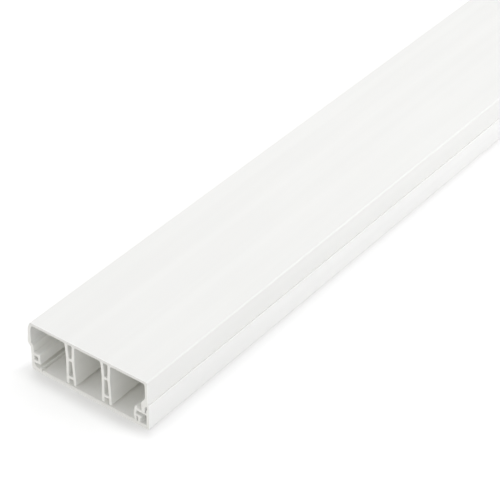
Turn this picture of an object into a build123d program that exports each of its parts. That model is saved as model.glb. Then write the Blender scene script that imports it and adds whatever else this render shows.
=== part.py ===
# Two-piece cord cover raceway, sold by the length: a base and a clip-fit cover with two hollow dividers.
# Millimetres, +Z up, the length runs along Y, the section is drawn in X and Z.
import os

from build123d import *

os.makedirs("parts", exist_ok=True)

# Overall size
LENGTH = 1000.0
WIDTH = 100.0
HEIGHT = 38.0

# Wall thicknesses
COVER_PLATE = 2.1
COVER_WALL_RIGHT = 2.0
COVER_WALL_LEFT = 2.8
BASE_PLATE = 2.5
BASE_WALL_RIGHT = 2.0
BASE_WALL_LEFT = 2.2
RIB = 1.6

# Where the two pieces meet
SEAM_Z = 19.4
SEAM_GAP = 0.25
SEAM_GAP_DEPTH = 0.3
LIP_Z = 18.3
LIP_OVERLAP = 1.5
LEFT_STEP = 2.4
RIGHT_STEP = 0.7
CLEARANCE = 0.15

# Left wall of the cover: it curves in to a sharp top edge, and its tapered lip has a nose in a groove of the base
LEAN_Z = 21.5
BEND_Z = 34.2
BEND_LEAN = 0.95
BEND_RADIUS = 15.0
TOP_LEAN = 3.1
INNER_BEND_Z = 33.1
INNER_BEND_RADIUS = 10.0
INNER_TOP_LEAN = 1.6
LIP_TAPER = 2.0
LIP_RISE = 2.4
LIP_RADIUS = 0.7
LEAN_RADIUS = 2.0
CORBEL_HEIGHT = 1.7
NOSE_REACH = 0.35
NOSE_HEIGHT = 0.5
GROOVE_DEPTH = 0.45
TOP_LEFT_RADIUS = 0.4
TOP_LEFT_INNER_RADIUS = 0.6
TOP_RIGHT_RADIUS = 1.3
TOP_RIGHT_INNER_RADIUS = 1.6

# Right wall of the cover: it joggles into a leg with a hook under the barb of the base
JOGGLE_TOP_Z = 24.3
JOGGLE_LOW_Z = 19.6
JOGGLE_RADIUS = 2.0
LEG_INSET = 3.9
LEG_GAP = 1.05
LEG_TIP_GAP = 1.5
LEG_END_GAP = 0.3
HOOK_REACH = 0.4
HOOK_HEIGHT = 0.5
HOOK_SLOPE = 0.9

# Right wall of the base: thin at its top edge, with a pocket under the barb
WALL_TIP = 1.3
BARB_REACH = 0.5
BARB_DROP = 0.5
BARB_LAND = 0.35
POCKET_DEPTH = 0.6
POCKET_HEIGHT = 2.5

# Hollow dividers of the cover, narrowest at their middle rib
DIVIDER_WIDTH = 8.0
DIVIDER_WALL = 2.05
DIVIDER_RIB = 1.8
WAIST = 0.65
WAIST_RADIUS = 9.0
DIVIDER_LEFT_X = -13.9
DIVIDER_RIGHT_X = 15.6
MIDDLE_RIB_Z = 23.8
LOWER_RIB_Z = 9.2
FOOT_GAP = 1.4
FLARE_RADIUS = 1.3
CELL_RADIUS = 0.7
FOOT_RADIUS = 0.8

# Left rail of the base: a closed tube on the inside of the wall
TUBE_WIDTH = 5.35
TUBE_WALL = 1.8
TUBE_TOP_Z = 14.3
TUBE_DROP = 0.6
TUBE_BOTTOM_Z = 6.4
RAIL_BUMP = 0.9

# Floor of the base: a low step under the left rail with a narrow groove beside it
FLOOR_FILLET = 3.4
FLOOR_STEP_HEIGHT = 1.6
FLOOR_STEP_WIDTH = 1.3
FLOOR_GROOVE_WIDTH = 1.0
FLOOR_GROOVE_DEPTH = 1.2
CORNER_LEFT = 1.6
CORNER_RIGHT = 0.8

# Right rail of the base: a leaning lip on a ledge with two webs, tied to the wall by a tapering rib
RAIL_INSET = 12.3
RAIL_LEAN = 1.1
TIE_TOP_Z = 13.6
TIE_DROP = 1.5
TIE_UNDER_Z = 11.0
LEDGE_TOP_Z = 7.9
LEDGE_REACH = 6.0
WEB_INSET = 5.0
WEB_LEAN = 0.8

# Small roundings
SOFT = 0.3
FINE = 0.15

# Heights that follow from the sizes
plate_under = HEIGHT - COVER_PLATE
lip_top = LIP_Z + LIP_RISE
left_seat = LIP_Z + LIP_OVERLAP
foot_z = BASE_PLATE + FOOT_GAP
rail_top = TIE_TOP_Z + RAIL_BUMP
tube_low_top = TUBE_TOP_Z - TUBE_DROP
tube_bump_top = tube_low_top + RAIL_BUMP
step_top = BASE_PLATE + FLOOR_STEP_HEIGHT
groove_floor = BASE_PLATE - FLOOR_GROOVE_DEPTH

# Left closure, from the outside in
x_left = -WIDTH / 2
base_left_out = x_left + LEFT_STEP
base_left_in = base_left_out + BASE_WALL_LEFT
cover_left_in = x_left + COVER_WALL_LEFT
lip_in = base_left_out - CLEARANCE
groove_in = base_left_out + GROOVE_DEPTH
nose_tip = lip_in + NOSE_REACH
nose_top = LIP_Z + NOSE_HEIGHT
seat_tip = base_left_in - CLEARANCE
corbel_top = left_seat + CORBEL_HEIGHT

# Right closure, from the outside in
x_right = WIDTH / 2
cover_right = x_right - RIGHT_STEP
cover_right_in = cover_right - COVER_WALL_RIGHT
seam_in = cover_right - SEAM_GAP_DEPTH
seam_edge = SEAM_Z + SEAM_GAP
base_right_in = x_right - BASE_WALL_RIGHT
wall_tip_in = x_right - WALL_TIP
pocket = base_right_in + POCKET_DEPTH
barb_tip = pocket - BARB_REACH
barb_top = SEAM_Z - BARB_DROP
barb_under = barb_top - BARB_LAND
pocket_top = barb_under - BARB_REACH
pocket_low = pocket_top - POCKET_HEIGHT
shoulder_in = wall_tip_in - CLEARANCE
neck = barb_tip - CLEARANCE
neck_top = barb_top + CLEARANCE
hook_top = barb_under - CLEARANCE
hook_tip = neck + HOOK_REACH
hook_under = hook_top - HOOK_HEIGHT
leg_out = base_right_in - LEG_GAP
leg_tip_out = base_right_in - LEG_TIP_GAP
leg_in = base_right_in - LEG_INSET

# Right rail
rail_left = x_right - RAIL_INSET
rail_right = rail_left + RIB
rail_top_left = rail_left + RAIL_LEAN
rail_top_right = rail_right + RAIL_LEAN
ledge_tip = rail_left + LEDGE_REACH
ledge_under = LEDGE_TOP_Z - RIB
web_right = rail_left + WEB_INSET
web_left = web_right - RIB
tie_under_left = rail_right + RAIL_LEAN * (TIE_UNDER_Z - LEDGE_TOP_Z) / (rail_top - LEDGE_TOP_Z)
tie_slope = TIE_DROP / (base_right_in - rail_top_right)
leg_end_out = TIE_TOP_Z - tie_slope * (leg_tip_out - rail_top_right) + LEG_END_GAP
leg_end_in = TIE_TOP_Z - tie_slope * (leg_in - rail_top_right) + LEG_END_GAP

# Left rail and the floor beside it
tube_right = base_left_in + TUBE_WIDTH
tube_in = tube_right - TUBE_WALL
step_left = tube_right - FLOOR_STEP_WIDTH / 2
step_right = step_left + FLOOR_STEP_WIDTH
groove_right = step_right + FLOOR_GROOVE_WIDTH

# Half widths of a divider and of its hollow, at the ends and at the waist
divider_half = DIVIDER_WIDTH / 2
fork_half = divider_half - DIVIDER_WALL
waist_half = fork_half - WAIST
lower_rib_under = LOWER_RIB_Z - DIVIDER_RIB / 2
lower_rib_top = LOWER_RIB_Z + DIVIDER_RIB / 2
middle_rib_under = MIDDLE_RIB_Z - DIVIDER_RIB / 2
middle_rib_top = MIDDLE_RIB_Z + DIVIDER_RIB / 2


def divider_outline(middle):
    """Corners of one divider, from its right root on the plate round its forked foot to its left root."""
    right_side = [
        (middle + divider_half, plate_under, FLARE_RADIUS),
        (middle + divider_half - WAIST, MIDDLE_RIB_Z, WAIST_RADIUS),
        (middle + divider_half, foot_z, FOOT_RADIUS),
        (middle + fork_half, foot_z, FOOT_RADIUS),
        (middle + fork_half, lower_rib_under, CELL_RADIUS),
    ]
    left_side = [(2 * middle - x, z, r) for x, z, r in reversed(right_side)]
    return right_side + left_side


def divider_cells(middle):
    """The two closed hollows of one divider, above and below its middle rib."""
    upper = [
        (middle - waist_half, middle_rib_top, CELL_RADIUS),
        (middle - fork_half, plate_under, CELL_RADIUS),
        (middle + fork_half, plate_under, CELL_RADIUS),
        (middle + waist_half, middle_rib_top, CELL_RADIUS),
    ]
    lower = [
        (middle - fork_half, lower_rib_top, CELL_RADIUS),
        (middle - waist_half, middle_rib_under, CELL_RADIUS),
        (middle + waist_half, middle_rib_under, CELL_RADIUS),
        (middle + fork_half, lower_rib_top, CELL_RADIUS),
    ]
    return [upper, lower]


# Cover outline, each corner as x, z and its rounding, clockwise from the left lip
cover_outline = [
    (x_left + LIP_TAPER, LIP_Z, FINE),
    (x_left, lip_top, LIP_RADIUS),
    (x_left, LEAN_Z, LEAN_RADIUS),
    (x_left + BEND_LEAN, BEND_Z, BEND_RADIUS),
    (x_left + TOP_LEAN, HEIGHT, TOP_LEFT_RADIUS),
    (cover_right, HEIGHT, TOP_RIGHT_RADIUS),
    (cover_right, seam_edge, FINE),
    (seam_in, seam_edge, 0),
    (seam_in, SEAM_Z, 0),
    (shoulder_in, SEAM_Z, 0),
    (neck, neck_top, FINE),
    (neck, hook_top, FINE),
    (hook_tip, hook_under, FINE),
    (leg_out, hook_under - HOOK_SLOPE, SOFT),
    (leg_tip_out, leg_end_out, SOFT),
    (leg_in, leg_end_in, SOFT),
    (leg_in, JOGGLE_LOW_Z, JOGGLE_RADIUS),
    (cover_right_in, JOGGLE_TOP_Z, JOGGLE_RADIUS),
    (cover_right_in, plate_under, TOP_RIGHT_INNER_RADIUS),
    *divider_outline(DIVIDER_RIGHT_X),
    *divider_outline(DIVIDER_LEFT_X),
    (cover_left_in + INNER_TOP_LEAN, plate_under, TOP_LEFT_INNER_RADIUS),
    (cover_left_in, INNER_BEND_Z, INNER_BEND_RADIUS),
    (cover_left_in, corbel_top, SOFT),
    (seat_tip, left_seat + SOFT, FINE),
    (seat_tip, left_seat, 0),
    (lip_in, left_seat, 0),
    (lip_in, nose_top + NOSE_REACH, 0),
    (nose_tip, nose_top, FINE),
    (nose_tip, LIP_Z, FINE),
]
cover_hollows = divider_cells(DIVIDER_LEFT_X) + divider_cells(DIVIDER_RIGHT_X)

# Base outline, clockwise from the lower left corner
base_outline = [
    (base_left_out, 0, CORNER_LEFT),
    (base_left_out, LIP_Z - CLEARANCE, 0),
    (groove_in, LIP_Z - CLEARANCE, 0),
    (groove_in, nose_top, 0),
    (base_left_out, nose_top + GROOVE_DEPTH, FINE),
    (base_left_out, left_seat, FINE),
    (base_left_in, left_seat, SOFT),
    (base_left_in, TUBE_TOP_Z, SOFT),
    (tube_in, tube_low_top, FINE),
    (tube_in, tube_bump_top, SOFT),
    (tube_right, tube_bump_top, SOFT),
    (tube_right, TUBE_BOTTOM_Z, SOFT),
    (base_left_in, TUBE_BOTTOM_Z, SOFT),
    (base_left_in, BASE_PLATE, FLOOR_FILLET),
    (step_left, BASE_PLATE, FINE),
    (step_left, step_top, SOFT),
    (step_right, step_top, SOFT),
    (step_right, groove_floor, FINE),
    (groove_right, groove_floor, FINE),
    (groove_right, BASE_PLATE, FINE),
    (rail_left + WEB_LEAN, BASE_PLATE, SOFT),
    (rail_left, ledge_under, SOFT),
    (rail_left, LEDGE_TOP_Z, SOFT),
    (rail_top_left, rail_top, SOFT),
    (rail_top_right, rail_top, SOFT),
    (rail_top_right, TIE_TOP_Z, FINE),
    (base_right_in, TIE_TOP_Z - TIE_DROP, SOFT),
    (base_right_in, pocket_low - POCKET_DEPTH, SOFT),
    (pocket, pocket_low, SOFT),
    (pocket, pocket_top, FINE),
    (barb_tip, barb_under, FINE),
    (barb_tip, barb_top, FINE),
    (wall_tip_in, SEAM_Z, 0),
    (x_right, SEAM_Z, SOFT),
    (x_right, 0, CORNER_RIGHT),
]

# Closed hollow of the left tube
tube_hollow = [
    (base_left_in, TUBE_BOTTOM_Z + TUBE_WALL, SOFT),
    (base_left_in, TUBE_TOP_Z - TUBE_WALL, SOFT),
    (tube_in, tube_low_top - TUBE_WALL, SOFT),
    (tube_in, TUBE_BOTTOM_Z + TUBE_WALL, SOFT),
]

# Closed hollow under the tie rib, between the right wall and the rail
tie_hollow = [
    (rail_right, LEDGE_TOP_Z, SOFT),
    (tie_under_left, TIE_UNDER_Z, SOFT),
    (base_right_in, TIE_UNDER_Z, SOFT),
    (base_right_in, BASE_PLATE, SOFT),
    (web_right, BASE_PLATE, SOFT),
    (web_right, ledge_under, FINE),
    (ledge_tip, ledge_under, FINE),
    (ledge_tip, LEDGE_TOP_Z, SOFT),
]

# Small closed cell between the two webs under the ledge
web_hollow = [
    (rail_right + WEB_LEAN, BASE_PLATE, FINE),
    (rail_right, ledge_under, FINE),
    (web_left, ledge_under, FINE),
    (web_left, BASE_PLATE, FINE),
]
base_hollows = [tube_hollow, tie_hollow, web_hollow]


def closed_line(corners):
    """Draws straight runs through the corners, each corner with its own rounding."""
    FilletPolyline(
        *[(x, z) for x, z, r in corners],
        radius=[r for x, z, r in corners],
        close=True,
    )


# The cover with its dividers, one extrusion
with BuildPart() as cover:
    with BuildSketch(Plane.XZ):
        with BuildLine():
            closed_line(cover_outline)
        make_face()
        for hollow in cover_hollows:
            with BuildLine():
                closed_line(hollow)
            make_face(mode=Mode.SUBTRACT)
    extrude(amount=LENGTH / 2, both=True)
cover.part.label = "cover"

# The base with its two rails, one extrusion
with BuildPart() as base:
    with BuildSketch(Plane.XZ):
        with BuildLine():
            closed_line(base_outline)
        make_face()
        for hollow in base_hollows:
            with BuildLine():
                closed_line(hollow)
            make_face(mode=Mode.SUBTRACT)
    extrude(amount=LENGTH / 2, both=True)
base.part.label = "base"

export_step(cover.part, "parts/cover.step")
export_step(base.part, "parts/base.step")
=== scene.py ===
"""Looks of the cord cover raceway: white PVC with extrusion lines and sawn ends, on a white floor."""
import math

import bpy
from mathutils import Matrix, Vector


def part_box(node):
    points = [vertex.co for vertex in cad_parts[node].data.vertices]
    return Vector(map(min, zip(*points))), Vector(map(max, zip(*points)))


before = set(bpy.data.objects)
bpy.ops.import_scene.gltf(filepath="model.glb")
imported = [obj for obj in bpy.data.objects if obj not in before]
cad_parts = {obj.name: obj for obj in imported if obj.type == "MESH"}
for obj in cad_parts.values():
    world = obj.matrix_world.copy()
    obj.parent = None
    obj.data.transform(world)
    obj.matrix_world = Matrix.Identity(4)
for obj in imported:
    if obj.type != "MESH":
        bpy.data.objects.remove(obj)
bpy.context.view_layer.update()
scene = bpy.context.scene
scene.view_settings.view_transform = "Standard"

MM = 0.001

# Light has to go deep into the long bays, so it may bounce often
BOUNCES = 18
scene.cycles.max_bounces = BOUNCES
scene.cycles.diffuse_bounces = BOUNCES

# Camera: where it stands as seen from the point that it looks at, with angles in degrees
CAMERA_TARGET = (1.41 * MM, -333.4 * MM, 19.0 * MM)
CAMERA_DISTANCE = 1358.2 * MM
CAMERA_AZIMUTH = 37.061
CAMERA_ELEVATION = 36.744
CAMERA_ROLL = 0.423
CAMERA_LENS = 143.82
CAMERA_SENSOR = 36.0
CAMERA_CLIP_START = 0.01

# Places on the object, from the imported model
cover_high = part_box("cover")[1]
base_low, base_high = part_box("base")
HALF_WIDTH = cover_high.x
HALF_LENGTH = cover_high.y
TOP_Z = cover_high.z

# Middles of the hollow dividers, and how far to each side of them the sink lines over their walls lie
DIVIDER_MIDDLES = (-13.9 * MM, 15.6 * MM)
SINK_LINE_OFFSET = 3.0 * MM

# Colours of the plastic
COVER_COLOUR = (0.887, 0.887, 0.872)
BASE_COLOUR = (0.938, 0.938, 0.928)
# Painted shade: a faint warm cast on the inner faces of the bays, where shade falls inside
INNER_SHADE_TINT = (1.0, 0.998, 0.985)
SAWN_COLOUR = (0.925, 0.918, 0.876)
# Painted shade: the saw cut across the top plate is painted darker than the rest of the saw cut
SAWN_PLATE_SHADE_COLOUR = (0.850, 0.844, 0.808)
# Pale burr with a painted highlight along the sawn edges
BURR_AND_HIGHLIGHT_COLOUR = (0.970, 0.970, 0.955)

# How light a streak, a saw mark or a painted edge highlight is beside the colour around it
OUTER_STREAK_GAIN = 0.975
INNER_STREAK_GAIN = 0.96
SAW_MARK_GAIN = 0.96
# The long top edges get a painted highlight this much paler than the colour around them
EDGE_HIGHLIGHT_GAIN = 1.035

# Noise periods along X, Y and Z: what the die draws is stretched along the length
FINE_LINE_PERIODS = (1.1 * MM, 600 * MM, 1.1 * MM)
BAND_PERIODS = (9 * MM, 900 * MM, 9 * MM)
SKIN_PERIODS = (1.4 * MM, 2.2 * MM, 1.4 * MM)
CLOUD_PERIODS = (35 * MM, 120 * MM, 35 * MM)

# Saw marks: how they slant, and their noise across the marks, along them and in depth
SAW_SLANT = 0.35
SAW_MARK_PERIODS = (0.7 * MM, 25 * MM, 1.0)
SAW_MARK_DETAIL = 3.0

# Streaks: the shares of bands and clouds in them, and the noise values between which they fade
BAND_SHARE = 0.6
CLOUD_SHARE = 0.4
STREAK_RANGE = (0.35, 0.65)

# How squarely a face looks along the length, between drawn and sawn
SAWN_FACING = (0.5, 0.8)

# How far from the sawn end, and from the long top edges, one look passes into the next: sawn face, pale burr
# with a painted highlight, and painted highlight on the top edges
SAWN_REACH = (0.05 * MM, 0.25 * MM)
BURR_AND_HIGHLIGHT_REACH = (0.2 * MM, 0.7 * MM)
EDGE_HIGHLIGHT_REACH = (0.7 * MM, 1.3 * MM)

# Distances from the middle and heights at which one look passes into the next
INSIDE_X = (HALF_WIDTH - 3.4 * MM, HALF_WIDTH - 3.0 * MM)
ABOVE_BACK_Z = (base_low.z + 0.6 * MM, base_low.z + 1.0 * MM)
# Heights over which the painted shade across the sawn top plate fades in
SAWN_PLATE_SHADE_Z = (TOP_Z - 2.5 * MM, TOP_Z - 2.0 * MM)
UNDER_TOP_Z = (TOP_Z - 2.0 * MM, TOP_Z - 1.6 * MM)
ON_TOP_Z = (TOP_Z - 0.5 * MM, TOP_Z - 0.1 * MM)

# Relief of the surface
FINE_LINE_HEIGHT = 0.006 * MM
BAND_HEIGHT = 0.03 * MM
SKIN_HEIGHT = 0.004 * MM
SAW_MARK_HEIGHT = 0.05 * MM
SINK_DEPTH = 0.02 * MM
SINK_HALF_WIDTH = 2.2 * MM

# Gloss of the plastic: satin, a little uneven in the fine lines, duller where it is sawn
PVC_IOR = 1.53
FINE_LINE_RANGE = (0.3, 0.7)
SATIN_ROUGHNESS = (0.46, 0.54)
SAWN_ROUGHNESS_GAIN = 0.2

# Floor: how far below the object it lies, and where its painted contact shadow and whiteness change
FLOOR_GAP = 0.02 * MM
CONTACT_SHADE_REACH = 8 * MM
CONTACT_SHADOW_LIFT_REACH = 16 * MM
SIDE_STEEPNESS = 2.0
FAR_RANGE = (0.2, 1.5)

# Points along the object's middle line that the lamps look at
NEAR_PART = (0.0, -0.3, 0.0)
BEFORE_MIDDLE = (0.0, -0.15, 0.0)
PAST_MIDDLE = (0.0, 0.1, 0.0)
FAR_PART = (0.0, 0.3, 0.0)

# Sockets of the mix node that hold colours, whose names it uses more than once
MIX_COLOUR_INPUTS = (6, 7)
MIX_COLOUR_OUTPUT = 2


class Graph:
    """The node tree of a material or world, with short ways to add and join nodes."""

    def __init__(self, owner):
        self.tree = owner.node_tree
        self.tree.nodes.clear()

    def node(self, kind, inputs=None, **settings):
        """Adds a node, sets its properties, and joins or sets its inputs."""
        made = self.tree.nodes.new(kind)
        for key, value in settings.items():
            setattr(made, key, value)
        for key, value in (inputs or {}).items():
            self.put(made.inputs[key], value)
        return made

    def put(self, socket, value):
        """Joins an output to the socket, or sets the socket's own value."""
        if isinstance(value, bpy.types.NodeSocket):
            self.tree.links.new(value, socket)
        else:
            socket.default_value = value

    def math(self, operation, a, b=0.0):
        """One operation on one or two values."""
        return self.node("ShaderNodeMath", {0: a, 1: b}, operation=operation).outputs[0]

    def ramp(self, value, low, high, start=0.0, end=1.0):
        """Smooth change from start to end while the value goes from low to high."""
        inputs = {"Value": value, "From Min": low, "From Max": high, "To Min": start, "To Max": end}
        made = self.node("ShaderNodeMapRange", inputs, interpolation_type="SMOOTHSTEP")
        return made.outputs["Result"]

    def mix(self, factor, a, b):
        """Mixes two colours."""
        made = self.node("ShaderNodeMix", {"Factor": factor}, data_type="RGBA")
        for index, colour in zip(MIX_COLOUR_INPUTS, (a, b)):
            self.put(made.inputs[index], (*colour, 1.0) if isinstance(colour, tuple) else colour)
        return made.outputs[MIX_COLOUR_OUTPUT]

    def noise(self, place, periods, detail=2.0):
        """Noise with its own period along each axis, in metres."""
        scale = tuple(1.0 / period for period in periods)
        moved = self.node("ShaderNodeVectorMath", {0: place, 1: scale}, operation="MULTIPLY")
        inputs = {"Vector": moved.outputs[0], "Scale": 1.0, "Detail": detail}
        return self.node("ShaderNodeTexNoise", inputs).outputs["Fac"]


def lightened(colour, gain):
    """A colour made lighter, or darker where the gain is below 1."""
    return tuple(gain * channel for channel in colour)


def facing_along(g):
    """1 on faces that look along the length, 0 on faces that run along it."""
    normal = g.node("ShaderNodeNewGeometry").outputs["True Normal"]
    settings = {"vector_type": "NORMAL", "convert_from": "WORLD", "convert_to": "OBJECT"}
    own_normal = g.node("ShaderNodeVectorTransform", {0: normal}, **settings).outputs[0]
    facing = g.math("ABSOLUTE", g.node("ShaderNodeSeparateXYZ", {0: own_normal}).outputs["Y"])
    return g.ramp(facing, *SAWN_FACING)


def slanting_marks(g, axes):
    """Noise of the saw marks, in slanting lines across a sawn end."""
    slant = g.math("ADD", g.math("MULTIPLY", axes["X"], SAW_SLANT), axes["Z"])
    saw_place = g.node("ShaderNodeCombineXYZ", {"X": slant, "Y": axes["X"], "Z": 0.0}).outputs[0]
    return g.noise(saw_place, SAW_MARK_PERIODS, detail=SAW_MARK_DETAIL)


def body_tint(g, axes, streaks, colour):
    """Colour of the drawn faces: streaked, warmer inside by a painted shade tint, and paler on the long
    edges of the top by a painted highlight.
    """
    outer = g.mix(streaks, lightened(colour, OUTER_STREAK_GAIN), colour)
    # Inside the bays the colour takes a painted warm shade tint
    inner_shade_colour = tuple(channel * tint for channel, tint in zip(colour, INNER_SHADE_TINT))
    inner_shaded = g.mix(streaks, lightened(inner_shade_colour, INNER_STREAK_GAIN), inner_shade_colour)
    from_middle = g.math("ABSOLUTE", axes["X"])
    between_walls = g.ramp(from_middle, *INSIDE_X, 1.0, 0.0)
    under_top = g.ramp(axes["Z"], *UNDER_TOP_Z, 1.0, 0.0)
    above_back = g.ramp(axes["Z"], *ABOVE_BACK_Z)
    inside = g.math("MULTIPLY", g.math("MULTIPLY", between_walls, under_top), above_back)
    body = g.mix(inside, outer, inner_shaded)

    # Painted highlight: paler along the long edges of the top
    to_side = g.math("SUBTRACT", HALF_WIDTH, from_middle)
    to_corner = g.math("ADD", to_side, g.math("SUBTRACT", TOP_Z, axes["Z"]))
    edge_highlight = g.ramp(to_corner, *EDGE_HIGHLIGHT_REACH, 1.0, 0.0)
    return g.mix(edge_highlight, body, lightened(colour, EDGE_HIGHLIGHT_GAIN))


def sawn_tint(g, axes, saw_marks):
    """Colour of the sawn ends: darker in the saw marks, and darker again across the top plate by painted
    shade.
    """
    face = g.mix(saw_marks, lightened(SAWN_COLOUR, SAW_MARK_GAIN), SAWN_COLOUR)
    # Painted shade across the top plate's saw cut
    return g.mix(g.ramp(axes["Z"], *SAWN_PLATE_SHADE_Z), face, SAWN_PLATE_SHADE_COLOUR)


def sunk(g, axes, height):
    """Lowers the top's height in faint lines over the walls of the dividers."""
    on_top = g.ramp(axes["Z"], *ON_TOP_Z)
    for middle in DIVIDER_MIDDLES:
        for line in (middle - SINK_LINE_OFFSET, middle + SINK_LINE_OFFSET):
            away = g.math("ABSOLUTE", g.math("SUBTRACT", axes["X"], line))
            dip = g.ramp(away, 0.0, SINK_HALF_WIDTH, 1.0, 0.0)
            depth = g.math("MULTIPLY", g.math("MULTIPLY", dip, on_top), SINK_DEPTH)
            height = g.math("SUBTRACT", height, depth)
    return height


def pvc(name, colour, sink_lines):
    """Extruded white PVC: die lines along the length, a fine skin, sink lines on the top and sawn ends."""
    material = bpy.data.materials.new(name)
    material.use_nodes = True
    g = Graph(material)
    place = g.node("ShaderNodeTexCoord").outputs["Object"]
    axes = g.node("ShaderNodeSeparateXYZ", {0: place}).outputs
    fine_lines = g.noise(place, FINE_LINE_PERIODS)
    bands = g.noise(place, BAND_PERIODS)
    skin = g.noise(place, SKIN_PERIODS)
    cloud = g.noise(place, CLOUD_PERIODS)

    # Sawn ends: the faces that look along the length at both ends
    end_distance = g.math("SUBTRACT", HALF_LENGTH, g.math("ABSOLUTE", axes["Y"]))
    across = facing_along(g)
    sawn = g.math("MULTIPLY", across, g.ramp(end_distance, *SAWN_REACH, 1.0, 0.0))
    saw_marks = slanting_marks(g, axes)

    # Colour: the drawn faces and the sawn ends
    tone = g.math("ADD", g.math("MULTIPLY", bands, BAND_SHARE), g.math("MULTIPLY", cloud, CLOUD_SHARE))
    streaks = g.ramp(tone, *STREAK_RANGE)
    tint = g.mix(sawn, body_tint(g, axes, streaks, colour), sawn_tint(g, axes, saw_marks))

    # Burr and painted highlight: the long faces are painted paler on the last half millimetre before the saw
    # cut, a pale burr with a painted highlight along the arris
    along = g.math("SUBTRACT", 1.0, across)
    burr_and_highlight = g.math("MULTIPLY", along, g.ramp(end_distance, *BURR_AND_HIGHLIGHT_REACH, 1.0, 0.0))
    tint = g.mix(burr_and_highlight, tint, BURR_AND_HIGHLIGHT_COLOUR)

    # Height in metres: lines, bands and skin on the drawn faces, saw marks on the sawn ends
    line_height = g.math("MULTIPLY", fine_lines, FINE_LINE_HEIGHT)
    band_height = g.math("MULTIPLY", bands, BAND_HEIGHT)
    skin_height = g.math("MULTIPLY", skin, SKIN_HEIGHT)
    height = g.math("ADD", g.math("ADD", line_height, band_height), skin_height)
    if sink_lines:
        height = sunk(g, axes, height)
    saw_height = g.math("MULTIPLY", saw_marks, SAW_MARK_HEIGHT)
    drawn = g.math("SUBTRACT", 1.0, sawn)
    height = g.math("ADD", g.math("MULTIPLY", height, drawn), g.math("MULTIPLY", saw_height, sawn))
    bump = g.node("ShaderNodeBump", {"Strength": 1.0, "Distance": 1.0, "Height": height})

    satin = g.ramp(fine_lines, *FINE_LINE_RANGE, *SATIN_ROUGHNESS)
    shader = g.node("ShaderNodeBsdfPrincipled", {
        "Base Color": tint,
        "Roughness": g.math("ADD", satin, g.math("MULTIPLY", sawn, SAWN_ROUGHNESS_GAIN)),
        "IOR": PVC_IOR,
        "Normal": bump.outputs[0],
    })
    g.node("ShaderNodeOutputMaterial", {"Surface": shader.outputs[0]})
    return material


def dress(node, material):
    """Gives a CAD node its material."""
    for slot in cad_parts[node].material_slots:
        slot.material = material


def looked_at(g):
    """1 where the camera, a gloss or a clear material looks at the surroundings, 0 where they only light."""
    path = g.node("ShaderNodeLightPath").outputs
    seen = g.math("MAXIMUM", path["Is Camera Ray"], path["Is Glossy Ray"])
    return g.math("MAXIMUM", seen, path["Is Transmission Ray"])


def make_world(strength):
    """White surroundings, seen as plain white and lighting at their own strength."""
    world = bpy.data.worlds.new("studio_world")
    world.use_nodes = True
    scene.world = world
    g = Graph(world)
    white = g.ramp(looked_at(g), 0.0, 1.0, strength, 1.0)
    background = g.node("ShaderNodeBackground", {"Color": (1.0, 1.0, 1.0, 1.0), "Strength": white})
    g.node("ShaderNodeOutputWorld", {"Surface": background.outputs[0]})


def floor_white(colour, contact_shade, lift, far_lift):
    """A diffuse floor that, looked at directly, is whiter away from the object, keeps its shadow and has a
    painted contact shadow close to the object.
    """
    material = bpy.data.materials.new("floor_white")
    material.use_nodes = True
    g = Graph(material)
    seen = looked_at(g)
    axes = g.node("ShaderNodeSeparateXYZ", {0: g.node("ShaderNodeTexCoord").outputs["Object"]}).outputs
    beside = g.math("SUBTRACT", g.math("ABSOLUTE", axes["X"]), base_high.x)
    beyond = g.math("SUBTRACT", g.math("ABSOLUTE", axes["Y"]), HALF_LENGTH)

    # Painted contact shadow: the tone that is seen falls towards the contact, in half the distance beside
    # the long walls
    close = g.math("MAXIMUM", g.math("MULTIPLY", beside, SIDE_STEEPNESS), beyond)
    painted_contact_shade = g.ramp(close, 0.0, CONTACT_SHADE_REACH, contact_shade, 1.0)
    tint = g.mix(seen, (colour, colour, colour), painted_contact_shade)
    plain = g.node("ShaderNodeBsdfDiffuse", {"Color": tint}).outputs[0]

    # The lift towards white is seen by the camera and in gloss, and adds no diffuse light to the object. It
    # is held back close to the object, which paints the contact shadow deeper.
    contact_shadow_lift = g.ramp(close, 0.0, CONTACT_SHADOW_LIFT_REACH, 0.0, lift)
    raised = g.ramp(g.math("MAXIMUM", beside, beyond), *FAR_RANGE, contact_shadow_lift, far_lift)
    glow = g.node("ShaderNodeEmission", {"Strength": g.math("MULTIPLY", seen, raised)}).outputs[0]
    both = g.node("ShaderNodeAddShader", {0: plain, 1: glow}).outputs[0]
    g.node("ShaderNodeOutputMaterial", {"Surface": both})
    return material


def make_floor(size, material):
    """A square floor just below the object."""
    mesh = bpy.data.meshes.new("floor")
    half = size / 2
    corners = [(-half, -half, 0.0), (half, -half, 0.0), (half, half, 0.0), (-half, half, 0.0)]
    mesh.from_pydata(corners, [], [(0, 1, 2, 3)])
    mesh.materials.append(material)
    floor = bpy.data.objects.new("floor", mesh)
    floor.location.z = base_low.z - FLOOR_GAP
    scene.collection.objects.link(floor)


def softbox(name, place, target, size, power):
    """A square area lamp that looks at a point."""
    lamp = bpy.data.lights.new(name, "AREA")
    lamp.shape = "SQUARE"
    lamp.size = size
    lamp.energy = power
    box = bpy.data.objects.new(name, lamp)
    box.location = place
    box.rotation_euler = (Vector(target) - Vector(place)).to_track_quat("-Z", "Y").to_euler()
    scene.collection.objects.link(box)


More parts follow.
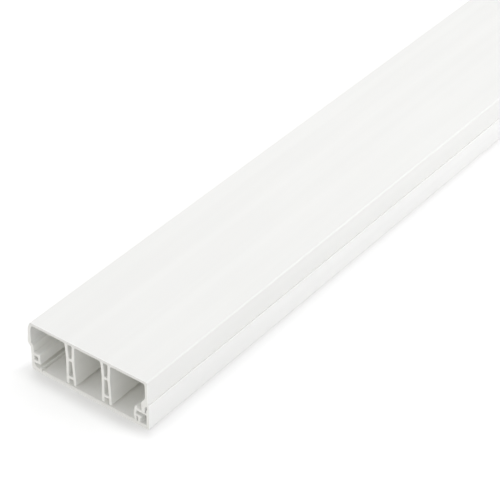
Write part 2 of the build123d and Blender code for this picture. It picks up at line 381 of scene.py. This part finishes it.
def make_lamps():
    """Broad soft lamps: keys above, fills and one edge lamp round the sides."""
    softbox("key", place=(0.12, -0.15, 1.6), target=NEAR_PART, size=0.6, power=1.0)
    softbox("key_left", place=(-0.5, -0.2, 1.6), target=NEAR_PART, size=0.5, power=4.0)
    softbox("key_far", place=(0.1, 0.25, 0.7), target=PAST_MIDDLE, size=0.6, power=0.28)
    softbox("front_left_fill", place=(-0.9, -1.7, 0.8), target=NEAR_PART, size=1.5, power=2.1)
    softbox("front_right_fill", place=(0.75, -2.1, 0.6), target=NEAR_PART, size=1.1, power=2.5)
    softbox("right_fill", place=(1.8, -0.2, 0.75), target=NEAR_PART, size=1.5, power=4.2)
    softbox("right_far_fill", place=(0.8, 0.1, 0.45), target=BEFORE_MIDDLE, size=0.8, power=1.95)
    softbox("back_right_edge", place=(1.3, 0.9, 0.95), target=NEAR_PART, size=0.7, power=0.5)
    softbox("left_front_fill", place=(-1.5, -1.0, 0.7), target=NEAR_PART, size=1.4, power=4.78)
    softbox("left_back_fill", place=(-1.3, 1.2, 0.7), target=FAR_PART, size=1.4, power=1.72)


def make_camera():
    """The camera at the photograph's viewing angle."""
    azimuth = math.radians(CAMERA_AZIMUTH)
    elevation = math.radians(CAMERA_ELEVATION)
    level = math.cos(elevation)
    forward = Vector((-math.sin(azimuth) * level, math.cos(azimuth) * level, -math.sin(elevation)))
    right = forward.cross(Vector((0, 0, 1))).normalized()
    up = right.cross(forward)
    turn = Matrix((right, up, -forward)).transposed()
    roll = Matrix.Rotation(math.radians(CAMERA_ROLL), 3, "Z")
    lens = bpy.data.cameras.new("camera")
    lens.sensor_width = CAMERA_SENSOR
    lens.lens = CAMERA_LENS
    lens.clip_start = CAMERA_CLIP_START
    camera = bpy.data.objects.new("camera", lens)
    camera.matrix_world = Matrix.LocRotScale(
        Vector(CAMERA_TARGET) - forward * CAMERA_DISTANCE, (turn @ roll).to_quaternion(), None
    )
    scene.collection.objects.link(camera)
    scene.camera = camera


dress("cover", pvc("white_pvc_cover", COVER_COLOUR, sink_lines=True))
dress("base", pvc("white_pvc_base", BASE_COLOUR, sink_lines=False))
make_world(strength=0.6)
# The floor is painted darker close to the object, a painted contact shadow
make_floor(size=6.0, material=floor_white(colour=0.8, contact_shade=0.955, lift=0.105, far_lift=0.5))
make_lamps()
make_camera()
